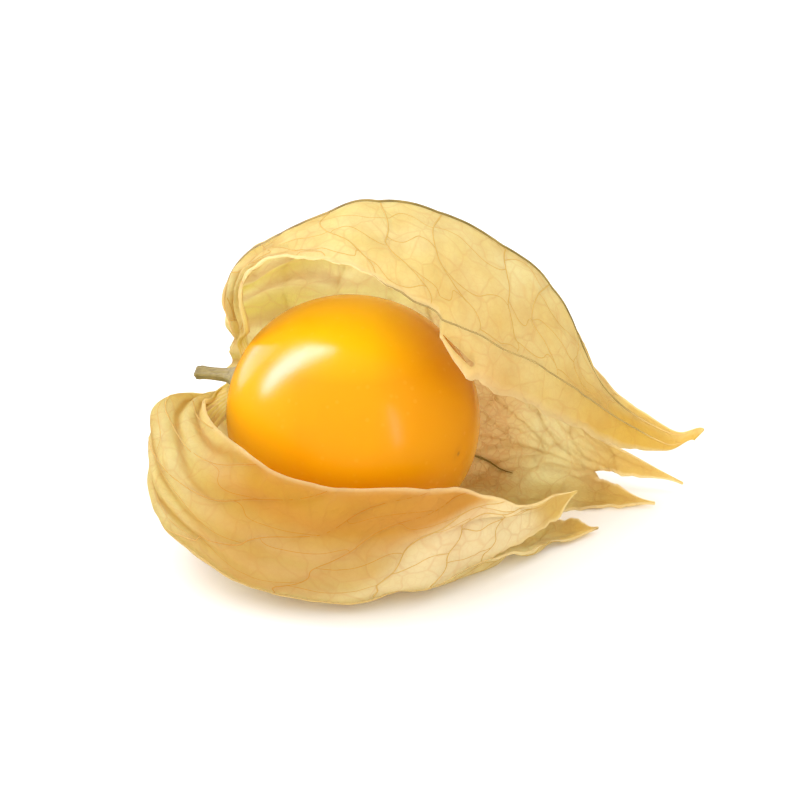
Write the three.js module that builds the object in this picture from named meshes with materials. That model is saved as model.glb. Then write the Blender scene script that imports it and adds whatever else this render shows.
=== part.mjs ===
// Physalis fruit (Cape gooseberry): a round berry lying in its papery husk, torn open along one side.
// Millimetres, +Z up, +X from the stalk to the husk's tip, origin on the flat spot it lies on.
import * as THREE from 'three';

const V = (x, y, z) => new THREE.Vector3(x, y, z);

// Berry: nearly a sphere, a little longer along its stalk.
const BERRY_CENTRE = V(0, 0, 11);
const BERRY_LENGTH = 20.5;
const BERRY_WIDTH = 19.7;
const BERRY_SIDES = 44;
const BERRY_RINGS = 24;

// Stalk: the cut pedicel, which widens into the receptacle that carries berry and husk.
const STALK_DIR = V(-8.2, 5.74, 0.24).normalize();
const STALK_END_DIR = V(-0.93, 0.348, -0.088).normalize();
const RECEPTACLE_START = 10.6;
const STALK_SIDES = 15;

// Husk: five fused sepals, torn open between the first and the last.
const HUSK_RING_RADIUS = 1.85;
const HUSK_RING_DISTANCE = 10.95;
const HUSK_THICKNESS = 0.62;
const HUSK_BERRY_GAP = 0.35;
const NORMAL_PASSES = 6;
// The fruit's weight has pressed flat what comes this close to the surface that it lies on.
const PRESSED_FLAT = 0.12;
const RIB_HEIGHT = 0.3;
const VEIN_HEIGHT = 0.2;
// How far the side veins lean towards the tip by the time they reach each seam.
const VEIN_SLANTS = [3.4, 2.4, 3.8, 2.6, 3.4, 2.8];

// Stations along every rib and seam, as a distance from the husk's ring round the stalk.
const STATIONS = [0, 3, 6, 8.5, 11, 15, 20.5, 27.5, 35, 43, 51];
// Angle round the stalk of each line's foot, from the front over the top, in degrees.
const RING_ANGLES = [78, 112, 148, 184, 220, 256, 285, 310, 332, 352, 372];

// Even lines are seams between sepals, odd lines are the sepals' midribs. Each row is one point
// per station after the ring. Seams 2, 4, 6 and 8 end where the petals part.
const LINES = [
  [[-8.2, 0.9, 17.4], [-8.3, -0.3, 21.8], [-7.8, -1.5, 24.4], [-6.4, -2.4, 25.6], [-3.9, -4, 26.5],
    [0, -5.3, 26], [6.6, -6, 22.6], [12.5, -2.9, 18.1], [19.5, 2.2, 11], [27.7, 5.5, 5.1]],
  [[-9.5, 3.8, 17], [-10.2, 2, 20.2], [-9.6, 1.6, 22.5], [-8.2, 1.5, 24.3], [-5, 1.5, 26.2],
    [0.5, 2.3, 28.3], [8, 3.5, 26.4], [15.6, 5, 20], [20.3, 6.2, 10.2], [28.5, 6, 5.6]],
  [[-9.4, 6.6, 16], [-10.3, 7.4, 18.2], [-9.6, 8, 19.9], [-7.8, 8.8, 21.3], [-4, 10, 22.7],
    [1, 10.7, 23.2], [7.5, 10.8, 21.2]],
  [[-9.2, 9, 13.8], [-10.3, 10.6, 14.6], [-9.8, 12, 15.2], [-7.9, 13, 15.6], [-4, 13.5, 15.8],
    [1, 13.9, 15.5], [7.5, 13.7, 13.8], [14, 12.4, 9.2], [20.5, 9.4, 3.3], [27.2, 7.5, 1.1]],
  [[-9.2, 9.2, 10.3], [-10.5, 10.4, 9.2], [-10.2, 11.6, 7.7], [-8.7, 12.1, 6.2], [-5, 12.3, 5],
    [1, 12.3, 4.3], [7.5, 12, 3.6], [14, 11, 2.7], [19.8, 8.7, 1.5]],
  [[-10.1, 7.6, 8.5], [-11.8, 7.9, 6.2], [-11.9, 7.8, 4.2], [-10.6, 7.6, 2.7], [-6, 7.5, 1.5],
    [0, 7.4, 1.1], [7, 7.4, 0.9], [13.5, 7.2, 0.7], [19.5, 6.5, 0.7], [24.7, 5.1, 0.7]],
  [[-11, 5.3, 8], [-12.9, 4, 5.8], [-13.4, 2.9, 3.8], [-12.3, 2, 2.2], [-7.5, 1.2, 0.9],
    [0, 1.2, 0.5], [7, 1.8, 0.5], [13.5, 2.8, 0.7]],
  [[-11.9, 2.9, 8.8], [-14.2, 0.4, 7.2], [-14.9, -1.5, 5.2], [-13.8, -3.1, 3.3], [-8.5, -4.8, 1.6],
    [-1, -5.7, 1.1], [6.5, -4.8, 1], [12.5, -2.8, 0.9], [17, -0.8, 0.9], [19.8, 0.5, 0.9]],
  [[-12.3, 1.4, 10.6], [-14.9, -1.9, 10.3], [-15.9, -4.6, 8.5], [-14.9, -7.3, 6], [-10, -10.8, 3.1],
    [-2, -12.3, 1.6], [5, -11, 1.7], [10.5, -7.3, 2.4]],
  [[-12, 0.5, 12.5], [-14.2, -2.2, 13.7], [-15.7, -4.5, 13.4], [-15.2, -7.7, 11.2],
    [-11, -11.3, 8], [-3.5, -13.1, 5.6], [4, -12.3, 6.4], [9.5, -9, 6.7], [14.2, -4.9, 5.2],
    [17.8, -1.2, 4.9]],
  [[-10.7, -0.2, 12.9], [-11.3, -2.8, 13.7], [-10.9, -5.6, 13.9], [-9.6, -8.1, 13.7],
    [-7.3, -10.4, 13.1], [-2.5, -11.6, 11.5], [5.3, -11.2, 11], [10.6, -9, 9.3], [13.7, -6, 6.5],
    [17.6, -0.6, 5.8]],
];

// Past the last shared station each petal has an edge of its own: [end of petal a, start of b].
const PARTED = {
  2: [[[14, 9.6, 17.6], [20.2, 7.9, 10.6], [28.1, 7, 6]],
    [[13.5, 12, 14.4], [18.6, 8.8, 5.6], [26.5, 8.2, 1.7]]],
  4: [[[26.4, 6.8, 0.9]], [[24.5, 5.9, 0.7]]],
  6: [[[19, 4.4, 0.6], [24.5, 4.2, 0.6]],
    [[17.8, 2.5, 0.7], [19.7, 1.4, 0.8]]],
  8: [[[15.5, -2.6, 1], [19.3, -0.4, 0.8]],
    [[14.9, -4.3, 2.9], [17.9, -1.9, 4]]],
};

// A ragged strip of the torn sepal still hangs below the first seam: [station, offset from it].
const STRIP = [
  [27.5, V(0.2, -0.4, -1.2)],
  [30, V(0.3, -1.4, -3.2)],
  [35, V(-1.6, -2.1, -2.6)],
  [43, V(-1.2, -1.7, -1.9)],
  [51, V(0.1, -0.3, -0.8)],
];

// How far a panel bows out between its two lines, as a part of its width, at each station.
const BOW = [0, -0.12, -0.1, -0.04, 0.02, 0.07, 0.09, 0.09, 0.08, 0.05, 0];

const frontDir = V(0, -1, 0).addScaledVector(STALK_DIR, STALK_DIR.y).normalize();
const upDir = new THREE.Vector3().crossVectors(STALK_DIR, frontDir).normalize();

function stepAt(knots, s) {
  let i = 0;
  while (i < knots.length - 2 && s >= knots[i + 1]) {
    i += 1;
  }
  return i;
}

function linear(knots, values, s) {
  const i = stepAt(knots, s);
  const u = THREE.MathUtils.clamp((s - knots[i]) / (knots[i + 1] - knots[i]), 0, 1);
  return values[i] + (values[i + 1] - values[i]) * u;
}

// Smooth curve through the points of a line: cubic steps whose slopes are weighted means.
function curvePoint(points, s) {
  const n = points.length;
  const step = (k) => STATIONS[k + 1] - STATIONS[k];
  const slope = (k) => points[k + 1].clone().sub(points[k]).divideScalar(step(k));
  const tangent = (k) => {
    if (k === 0) {
      return slope(0);
    }
    if (k === n - 1) {
      return slope(n - 2);
    }
    const sum = step(k - 1) + step(k);
    const next = slope(k).multiplyScalar(step(k - 1) / sum);
    return next.addScaledVector(slope(k - 1), step(k) / sum);
  };
  const i = stepAt(STATIONS, s);
  const h = step(i);
  const u = (s - STATIONS[i]) / h;
  const out = points[i].clone().multiplyScalar(2 * u ** 3 - 3 * u ** 2 + 1);
  out.addScaledVector(tangent(i), (u ** 3 - 2 * u ** 2 + u) * h);
  out.addScaledVector(points[i + 1], 3 * u ** 2 - 2 * u ** 3);
  return out.addScaledVector(tangent(i + 1), (u ** 3 - u ** 2) * h);
}

function ringPoint(j) {
  const angle = THREE.MathUtils.degToRad(RING_ANGLES[j]);
  const p = BERRY_CENTRE.clone().addScaledVector(STALK_DIR, HUSK_RING_DISTANCE);
  p.addScaledVector(frontDir, HUSK_RING_RADIUS * Math.cos(angle));
  return p.addScaledVector(upDir, HUSK_RING_RADIUS * Math.sin(angle));
}

// A line's point; side 0 or 1 picks a parted seam's own edge, which opens as a straight V.
function linePoint(j, side, s) {
  const points = [ringPoint(j), ...LINES[j].map((p) => V(...p))];
  if (!(j in PARTED)) {
    return curvePoint(points, s);
  }
  const shared = points.length;
  const ends = PARTED[j].map((list) => list.map((p) => V(...p)));
  ends[0].forEach((p, k) => points.push(p.clone().add(ends[1][k]).multiplyScalar(0.5)));
  const out = curvePoint(points, s);
  if (s > STATIONS[shared - 1]) {
    const knots = STATIONS.slice(shared - 1);
    for (const axis of ['x', 'y', 'z']) {
      const offsets = ends[side].map((p, k) => p[axis] - points[shared + k][axis]);
      out[axis] += linear(knots, [0, ...offsets], s);
    }
  }
  return out;
}

// Waves of a torn edge, in mm of sheet lost.
function ragged(s, phase) {
  const wave = Math.sin(1.25 * s + phase) + 0.7 * Math.sin(2.9 * s + 2 * phase);
  return 0.3 + 0.15 * wave;
}

// Low creases of the dry sheet, in mm.
function crease(s, t) {
  const grow = THREE.MathUtils.smoothstep(s, 3, 12) * (1 - THREE.MathUtils.smoothstep(s, 38, 49));
  const broad = Math.sin(0.52 * s + 1.7 * t) * Math.sin(2.3 * t + 0.19 * s + 0.6);
  const fine = Math.sin(1.05 * s - 2.9 * t + 1);
  return grow * (0.3 * broad + 0.13 * fine);
}

function berryRadius(dir) {
  const along = dir.dot(STALK_DIR);
  const a = BERRY_LENGTH / 2;
  const b = BERRY_WIDTH / 2;
  return 1 / Math.sqrt(along ** 2 / a ** 2 + (1 - along ** 2) / b ** 2);
}

// Moves a point out of the berry's reach and up to the surface that the fruit lies on.
function keepClear(p) {
  const dir = p.clone().sub(BERRY_CENTRE);
  const r = dir.length();
  dir.normalize();
  const need = berryRadius(dir) + HUSK_BERRY_GAP + HUSK_THICKNESS / 2;
  const far = (r + need + Math.sqrt((r - need) ** 2 + 0.09)) / 2;
  const out = BERRY_CENTRE.clone().addScaledVector(dir, far);
  out.z = Math.max(out.z, HUSK_THICKNESS / 2 - 0.01);
  return out;
}

// Point of the husk's middle sheet: a and b give a panel's two lines, u runs from a to b.
function sheetPoint(a, b, s, u, t) {
  const pa = a(s);
  const pb = b(s);
  const chord = pb.clone().sub(pa);
  const step = s > 50 ? -0.1 : 0.1;
  const next = a(s + step).add(b(s + step)).sub(pa).sub(pb).multiplyScalar(1 / step);
  const normal = new THREE.Vector3().crossVectors(next, chord).normalize();
  const bow = 4 * u * (1 - u) * linear(STATIONS, BOW, s) * chord.length();
  const p = pa.addScaledVector(chord, u).addScaledVector(normal, bow);
  const inside = V(THREE.MathUtils.clamp(p.x, -5, 9), 1.5, 11);
  const out = p.clone().sub(inside).normalize();
  return keepClear(p.addScaledVector(out, crease(s, t)));
}

// Rows of the sheet: each vein has a row and one close on either side, with one between veins.
const rows = [0, 1.6, 3.2];
for (let v = 0; v < 10; v += 1) {
  const s = 4.9 + 4.3 * v + 0.5 * Math.sin(2.3 * v);
  rows.push(s - 0.42, s, s + 0.42, s + 2.2);
}
rows.push(48.2, 49.7, 51);
const isVein = (r) => r > 2 && r < 43 && (r - 3) % 4 === 1;

// Rows slant towards the tip on their way from a midrib to a seam, and waver a little.
function slanted(s, t) {
  const window = THREE.MathUtils.smoothstep(s, 0, 12) * (1 - THREE.MathUtils.smoothstep(s, 34, 51));
  const fromMidrib = Math.abs(t - 2 * Math.floor(t / 2) - 1);
  const slant = linear([0, 2, 4, 6, 8, 10], VEIN_SLANTS, 2 * Math.round(t / 2));
  return s + window * (slant * fromMidrib ** 1.4 + 0.3 * Math.sin(5.1 * t + 0.8 * s));
}

// The strip's torn edge, offset from the first seam.
function stripEdge(s) {
  const knots = STRIP.map((row) => row[0]);
  const p = linePoint(0, 0, s);
  for (const axis of ['x', 'y', 'z']) {
    p[axis] += linear(knots, STRIP.map((row) => row[1][axis]), s);
  }
  return p;
}

// Columns of the sheet, from the strip's torn edge round to the last sepal's torn edge: the two
// lines of the panel, the share u of the way from a to b, and the place t round the husk.
const stripFirstRow = rows.findIndex((s) => slanted(s, 0) >= STRIP[0][0]);
const columns = [];
for (const u of [0, 0.45, 0.85]) {
  const b = (s) => linePoint(0, 0, s);
  columns.push({ a: stripEdge, b, u, t: 0, first: stripFirstRow, rib: 0, seamIsA: true });
}
for (let half = 0; half < 10; half += 1) {
  const toMidrib = half % 2 === 0;
  const seam = toMidrib ? half : half + 1;
  const seamLine = (s) => linePoint(seam, toMidrib ? 1 : 0, s);
  const midrib = (s) => linePoint(toMidrib ? half + 1 : half, 0, s);
  const [a, b] = toMidrib ? [seamLine, midrib] : [midrib, seamLine];
  for (const u of toMidrib ? [0, 0.1, 0.36, 0.64, 0.9] : [0, 0.1, 0.36, 0.64, 0.9, 1]) {
    const opens = toMidrib && u === 0 && half > 0 ? seam : undefined;
    const rib = u === 0 || u === 1 ? 1 : 0;
    columns.push({ a, b, u, t: half + u, first: 0, rib, seam, seamIsA: toMidrib, opens });
  }
}

// Whether the sheet ends at a panel's seam: it does along the tear, past the point where two
// petals part, and at the strip's edge, which is no seam.
function endsAt(seam, s) {
  if (seam === 0) {
    return s < STRIP[0][0];
  }
  return seam === undefined || seam === 10 || s > STATIONS[LINES[seam].length];
}

// A column's point at row distance s, and how high its ridges stand there. Where the sheet ends at
// the panel's seam, the whole panel is drawn in by what the ragged edge has lost.
function columnPoint({ a, b, u, t, seam, seamIsA }, s) {
  const away = slanted(s, t);
  const width = a(away).distanceTo(b(away));
  const beside = THREE.MathUtils.clamp(0.6 / width, 0.1, 0.2);
  const place = { 0.1: beside, 0.9: 1 - beside }[u] ?? u;
  const phase = (seam ?? 5) + (seamIsA ? 0 : 1);
  const ends = endsAt(seam, slanted(s, seam ?? 0));
  const lost = ends ? Math.min(0.3, ragged(away, phase) / width) : 0;
  const share = place * (1 - lost) + (seamIsA ? lost : 0);
  return [sheetPoint(a, b, away, share, t), THREE.MathUtils.smoothstep(width, 0.8, 3)];
}

// Sheet vertices. A parted seam's two columns share their vertices up to the last shared station.
const points = [];
const ridge = [];
const index = columns.map(() => []);
columns.forEach((column, c) => {
  rows.forEach((s, r) => {
    if (r < column.first) {
      return;
    }
    const { opens, rib, t } = column;
    if (opens !== undefined && slanted(s, opens) <= STATIONS[LINES[opens].length]) {
      index[c][r] = index[c - 1][r];
      return;
    }
    const [point, room] = columnPoint(column, s);
    const fade = THREE.MathUtils.smoothstep(s, 0, 6) * (1 - THREE.MathUtils.smoothstep(s, 44, 51));
    const vein = isVein(r) ? VEIN_HEIGHT * (1 + 0.3 * Math.sin(7 * t + 2 * r)) : 0;
    index[c][r] = points.length;
    points.push(point);
    ridge.push(fade * room * Math.max(rib * RIB_HEIGHT, vein));
  });
});

// Triangles of the sheet, wound so that they face out of the husk.
const faces = [];
for (let c = 0; c < columns.length - 1; c += 1) {
  if (columns[c + 1].opens !== undefined) {
    continue;
  }
  const first = Math.max(columns[c].first, columns[c + 1].first);
  for (let r = first; r < rows.length - 1; r += 1) {
    const [i, j] = [index[c][r], index[c + 1][r]];
    const [k, l] = [index[c + 1][r + 1], index[c][r + 1]];
    if ((c + r) % 2 === 0) {
      faces.push([i, k, j], [i, l, k]);
    } else {
      faces.push([i, l, j], [j, l, k]);
    }
  }
}

// Thickens the sheet: the same triangles on both faces, and walls along its open edges.
function thicken() {
  const normals = points.map(() => V(0, 0, 0));
  for (const [i, j, k] of faces) {
    const normal = points[j].clone().sub(points[i]).cross(points[k].clone().sub(points[i]));
    [i, j, k].forEach((v) => normals[v].add(normal));
  }
  normals.forEach((normal) => normal.normalize());
  for (let pass = 0; pass < NORMAL_PASSES; pass += 1) {
    const before = normals.map((normal) => normal.clone());
    for (const [i, j, k] of faces) {
      normals[i].addScaledVector(before[j], 0.25).addScaledVector(before[k], 0.25);
      normals[j].addScaledVector(before[k], 0.25).addScaledVector(before[i], 0.25);
      normals[k].addScaledVector(before[i], 0.25).addScaledVector(before[j], 0.25);
    }
    normals.forEach((normal) => normal.normalize());
  }
  const n = points.length;
  const position = new Float32Array(6 * n);
  points.forEach((p, v) => {
    const normal = normals[v].normalize();
    const outer = p.clone().addScaledVector(normal, HUSK_THICKNESS / 2 + ridge[v]);
    const inner = p.clone().addScaledVector(normal, -HUSK_THICKNESS / 2);
    outer.z = outer.z < PRESSED_FLAT ? 0 : outer.z;
    inner.z = Math.max(inner.z, 0);
    outer.toArray(position, 3 * v);
    inner.toArray(position, 3 * (n + v));
  });
  const triangles = [];
  const open = new Map();
  for (const [i, j, k] of faces) {
    triangles.push(i, j, k, n + i, n + k, n + j);
    for (const [a, b] of [[i, j], [j, k], [k, i]]) {
      if (!open.delete(`${b},${a}`)) {
        open.set(`${a},${b}`, [a, b]);
      }
    }
  }
  for (const [a, b] of open.values()) {
    triangles.push(a, n + a, n + b, a, n + b, b);
  }
  const geometry = new THREE.BufferGeometry();
  geometry.setAttribute('position', new THREE.BufferAttribute(position, 3));
  geometry.setIndex(triangles);
  return geometry;
}

// A closed round body along the stalk's direction: rings of [distance, radius], with end points.
function turned(profile, sides, start, end, centreLine, section) {
  const position = [...start.toArray()];
  profile.forEach(([distance, radius], r) => {
    const centre = centreLine(distance);
    for (let k = 0; k < sides; k += 1) {
      const angle = (2 * Math.PI * k) / sides;
      const reach = radius * section(angle, distance);
      const p = centre.clone().addScaledVector(frontDir, reach * Math.cos(angle));
      p.addScaledVector(upDir, reach * Math.sin(angle));
      position.push(...p.toArray());
    }
  });
  position.push(...end.toArray());
  const last = position.length / 3 - 1;
  const at = (r, k) => 1 + r * sides + (k % sides);
  const triangles = [];
  for (let k = 0; k < sides; k += 1) {
    triangles.push(0, at(0, k + 1), at(0, k));
    for (let r = 0; r < profile.length - 1; r += 1) {
      triangles.push(at(r, k), at(r + 1, k + 1), at(r + 1, k));
      triangles.push(at(r, k), at(r, k + 1), at(r + 1, k + 1));
    }
    triangles.push(last, at(profile.length - 1, k), at(profile.length - 1, k + 1));
  }
  const geometry = new THREE.BufferGeometry();
  geometry.setAttribute('position', new THREE.BufferAttribute(new Float32Array(position), 3));
  geometry.setIndex(triangles);
  return geometry;
}

// Berry: an ellipsoid of revolution with a small dimple at the tip end and a shallow stalk end.
function berryGeometry() {
  const a = BERRY_LENGTH / 2;
  const b = BERRY_WIDTH / 2;
  const dent = (along) => 1 - 0.03 * Math.exp(-(((1 + along) / 0.012) ** 2));
  const profile = [];
  for (let r = 1; r < BERRY_RINGS; r += 1) {
    const angle = (Math.PI * r) / BERRY_RINGS;
    const along = -Math.cos(angle);
    profile.push([a * along * dent(along), b * Math.sin(angle)]);
  }
  const centreLine = (d) => BERRY_CENTRE.clone().addScaledVector(STALK_DIR, d);
  const start = centreLine(-a * dent(-1));
  return turned(profile, BERRY_SIDES, start, centreLine(a), centreLine, () => 1);
}

// Stalk: leaves the receptacle along the berry's axis, then turns to its end direction.
function stalkGeometry() {
  const profile = [
    [10.6, 0.85], [10.75, 1.08], [11.1, 1.14], [11.5, 1], [11.95, 0.74], [12.5, 0.58],
    [13.2, 0.53], [14, 0.51], [14.6, 0.53], [14.9, 0.58], [15.1, 0.57],
  ];
  const centreLine = (d) => {
    const past = Math.max(0, d - 11.2);
    const turnedBy = past < 1.6 ? past ** 2 / 3.2 : past - 0.8;
    const p = BERRY_CENTRE.clone().addScaledVector(STALK_DIR, d - turnedBy);
    return p.addScaledVector(STALK_END_DIR, turnedBy);
  };
  const section = (angle, d) => 1 + (d > 12 ? 0.09 : 0.04) * Math.cos(5 * angle);
  const start = centreLine(RECEPTACLE_START);
  return turned(profile, STALK_SIDES, start, centreLine(15.05), centreLine, section);
}

function addPiece(name, geometry, colour, roughness) {
  const material = new THREE.MeshStandardMaterial({ color: colour, roughness, metalness: 0 });
  const mesh = new THREE.Mesh(geometry, material);
  mesh.name = name;
  group.add(mesh);
}

const group = new THREE.Group();
addPiece('berry', berryGeometry(), 0xf7a40a, 0.3);
addPiece('husk', thicken(), 0xe6c583, 0.75);
addPiece('stem', stalkGeometry(), 0x8a7a3c, 0.8);

export default group;
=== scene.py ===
"""Physalis fruit: a waxy orange berry lying in its dry, torn husk, with a short cut stalk."""

import bpy
import numpy as np
from mathutils import Matrix


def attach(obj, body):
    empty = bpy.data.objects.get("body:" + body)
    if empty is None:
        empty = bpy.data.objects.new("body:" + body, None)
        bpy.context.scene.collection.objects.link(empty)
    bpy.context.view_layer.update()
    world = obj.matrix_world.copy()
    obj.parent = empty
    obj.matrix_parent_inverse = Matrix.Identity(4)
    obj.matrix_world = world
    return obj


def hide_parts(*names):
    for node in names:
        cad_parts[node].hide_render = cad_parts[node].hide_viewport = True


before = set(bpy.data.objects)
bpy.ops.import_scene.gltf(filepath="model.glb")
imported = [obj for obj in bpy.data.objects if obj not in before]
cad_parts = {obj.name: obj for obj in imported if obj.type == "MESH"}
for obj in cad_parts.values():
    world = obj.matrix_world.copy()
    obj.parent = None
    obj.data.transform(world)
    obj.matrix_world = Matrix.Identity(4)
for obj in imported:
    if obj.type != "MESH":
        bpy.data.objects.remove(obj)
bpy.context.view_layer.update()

# ---------------------------------------------------------------------------------------------
# Camera: a long lens well back from the fruit, looking down on it at 27 degrees. Shapes below
# are worked out in millimetres and turned to metres when a mesh is made.
MM = 0.001
camera_tilt = np.radians(27)
camera_distance = 280 * MM
camera_target = np.array([3.73, 0, 12.51]) * MM
camera_look = np.array([0, np.cos(camera_tilt), -np.sin(camera_tilt)])

camera_data = bpy.data.cameras.new("camera")
camera_data.sensor_width = 36
frame_width, focal_length = 800, 3528  # pixels
camera_data.lens = camera_data.sensor_width * focal_length / frame_width
camera_data.clip_start = 0.01
camera = bpy.data.objects.new("camera", camera_data)
camera.location = camera_target - camera_distance * camera_look
camera.rotation_euler = (np.pi / 2 - camera_tilt, 0, 0)
bpy.context.collection.objects.link(camera)
bpy.context.scene.camera = camera

# ---------------------------------------------------------------------------------------------
# Berry: the ripe fruit, a juicy sphere a little longer along its stalk, with a smooth skin under
# a thin natural wax and a small dimple where the flower's style fell off. It grows on the stalk.
BERRY_CENTRE = np.array([0, 0, 11.0])
BERRY_LENGTH = 20.5
BERRY_WIDTH = 19.7
SCAR_DEPTH = 0.012  # as a share of half the length


def unit(v):
    """Vectors of length one along the last axis."""
    return v / np.linalg.norm(v, axis=-1, keepdims=True)


STALK_DIR = unit(np.array([-8.2, 5.74, 0.24]))
FRONT_DIR = unit(np.array([0, -1, 0]) + STALK_DIR * STALK_DIR[1])
UP_DIR = unit(np.cross(STALK_DIR, FRONT_DIR))


def round_stalk(angle):
    """Directions square to the stalk's end of the berry: the front one at angle 0, the upper one
    at a quarter turn, and their cosine and sine mix between."""
    return FRONT_DIR * np.cos(angle)[..., None] + UP_DIR * np.sin(angle)[..., None]


def hex_colour(code):
    """sRGB hex turned to linear: c/12.92 in the darks, else ((c + 0.055)/1.055) to the 2.4."""
    c = np.array([int(code[k:k + 2], 16) / 255 for k in (0, 2, 4)])
    c = np.where(c <= 0.04045, c / 12.92, ((c + 0.055) / 1.055) ** 2.4)
    return (*c.tolist(), 1.0)


def add_node(tree, kind, inputs=None, **settings):
    """One shader node with its settings, and inputs that are numbers, colours or links."""
    node = tree.nodes.new(kind)
    for name, value in settings.items():
        setattr(node, name, value)
    for name, value in (inputs or {}).items():
        if isinstance(value, bpy.types.NodeSocket):
            tree.links.new(value, node.inputs[name])
        else:
            node.inputs[name].default_value = value
    return node


def new_material(name):
    """An empty node material and its tree."""
    material = bpy.data.materials.new(name)
    material.use_nodes = True
    material.node_tree.nodes.clear()
    return material, material.node_tree


def make_piece(name, points, faces, materials):
    """A smooth mesh object from points in millimetres, riding on the fruit's one body."""
    mesh = bpy.data.meshes.new(name)
    mesh.from_pydata((points * MM).tolist(), [], faces)
    mesh.polygons.foreach_set("use_smooth", np.ones(len(mesh.polygons), dtype=bool))
    for material in materials:
        mesh.materials.append(material)
    mesh.update()
    piece = bpy.data.objects.new(name, mesh)
    bpy.context.collection.objects.link(piece)
    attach(piece, "root")
    return piece


def turned(rings, start, end):
    """A closed body from rings of points (rings, sides, 3), with a pole point at either end."""
    count, sides = rings.shape[:2]
    points = np.vstack([start[None], rings.reshape(-1, 3), end[None]])
    at = 1 + np.arange(count * sides).reshape(count, sides)
    after = np.roll(at, -1, axis=1)
    quads = np.stack([at[:-1], after[:-1], after[1:], at[1:]], -1).reshape(-1, 4)
    last = len(points) - 1
    caps = [[0, int(b), int(a)] for a, b in zip(at[0], after[0])]
    caps += [[last, int(a), int(b)] for a, b in zip(at[-1], after[-1])]
    return points, quads.tolist() + caps


def mark(piece, name, values):
    """Keeps one number for each vertex, which the piece's material reads by name."""
    attribute = piece.data.attributes.new(name, "FLOAT", "POINT")
    attribute.data.foreach_set("value", values.astype(np.float32))


def berry_rings():
    """Circles round the stalk's direction on an ellipsoid, dented by a narrow bell curve at the
    tip end, with five very shallow lobes and a slow swell that keep it from being exact."""
    angle = np.linspace(0, np.pi, 112)[1:-1, None]
    side = np.linspace(0, 2 * np.pi, 160, endpoint=False)[None]
    along = -np.cos(angle) + 0 * side
    dent = 1 - SCAR_DEPTH * np.exp(-((1 + along) / 0.002) ** 2)
    swell = 1 + 0.004 * np.cos(5 * side) * np.sin(angle) ** 2
    swell = swell + 0.005 * np.sin(2 * side + 1) * np.sin(angle) - 0.005
    across = (BERRY_WIDTH / 2 * np.sin(angle) * swell)[..., None]
    rings = BERRY_CENTRE + STALK_DIR * (BERRY_LENGTH / 2 * along * dent)[..., None]
    rings = rings + across * round_stalk(side)
    start = BERRY_CENTRE - STALK_DIR * (BERRY_LENGTH / 2 * (1 - SCAR_DEPTH))
    return rings, start, BERRY_CENTRE + STALK_DIR * BERRY_LENGTH / 2


# Ripe fruit skin, smooth under its own wax: an even orange that lets light 2 mm in, with faint
# darker clouds of 7 mm, paler dots 0.3 mm wide, and a soft gloss.
berry_skin, tree = new_material("waxy_fruit_skin")
place = add_node(tree, "ShaderNodeTexCoord").outputs["Object"]
clouds = add_node(tree, "ShaderNodeTexNoise", {"Vector": place, "Scale": 140, "Detail": 3})
skin = add_node(tree, "ShaderNodeMix", {
    0: clouds.outputs["Fac"], 6: hex_colour("E29800"), 7: hex_colour("DA8C00")}, data_type="RGBA")
# Painted light and shade: the upper side that the husk covers and the stalk's end, towards the
# window, are painted paler, and the scar's side, away from it, darker. Each fades in between two
# places along an axis of the fruit.
part = add_node(tree, "ShaderNodeSeparateXYZ", {"Vector": place})
for axis, low, high, most, colour in (
        ("Z", 17.5, 21, 0.9, "F8BE00"), ("X", -4, -9.5, 0.6, "F0B20C"),
        ("X", 1.5, 9, 0.9, "C67E00")):
    painted_light_share = add_node(tree, "ShaderNodeMapRange", {
        "Value": part.outputs[axis], "From Min": low * MM, "From Max": high * MM, "To Max": most})
    skin = add_node(tree, "ShaderNodeMix", {
        0: painted_light_share.outputs["Result"], 6: skin.outputs[2], 7: hex_colour(colour)}, data_type="RGBA")
dots = add_node(tree, "ShaderNodeTexVoronoi", {"Vector": place, "Scale": 900})
dot = add_node(tree, "ShaderNodeMapRange", {
    "Value": dots.outputs["Distance"], "From Min": 0.2, "From Max": 0.08, "To Max": 0.07})
skin = add_node(tree, "ShaderNodeMix", {
    0: dot.outputs["Result"], 6: skin.outputs[2], 7: hex_colour("FFD060")}, data_type="RGBA")
scar = add_node(tree, "ShaderNodeAttribute", attribute_name="scar")
skin = add_node(tree, "ShaderNodeMix", {
    0: scar.outputs["Fac"], 6: skin.outputs[2], 7: hex_colour("8A5A1C")}, data_type="RGBA")
flesh = add_node(tree, "ShaderNodeTexNoise", {"Vector": place, "Scale": 420, "Detail": 2})
skin_bump = add_node(tree, "ShaderNodeBump", {
    "Height": flesh.outputs["Fac"], "Strength": 0.12, "Distance": 0.0002})
shader = add_node(tree, "ShaderNodeBsdfPrincipled", {
    "Base Color": skin.outputs[2], "Roughness": 0.22, "IOR": 1.38,
    "Specular IOR Level": 0.3,
    "Subsurface Weight": 0.2, "Subsurface Radius": (1.0, 0.4, 0.08), "Subsurface Scale": 0.002,
    "Normal": skin_bump.outputs["Normal"]})
add_node(tree, "ShaderNodeOutputMaterial", {"Surface": shader.outputs["BSDF"]})

rings, start, end = berry_rings()
points, faces = turned(rings, start, end)
berry = make_piece("berry_fruit", points, faces, [berry_skin])
from_scar = np.linalg.norm(points - start, axis=1)
mark(berry, "scar", 0.8 * np.clip(1.4 - from_scar / 0.16, 0, 1))
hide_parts("berry")

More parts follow.
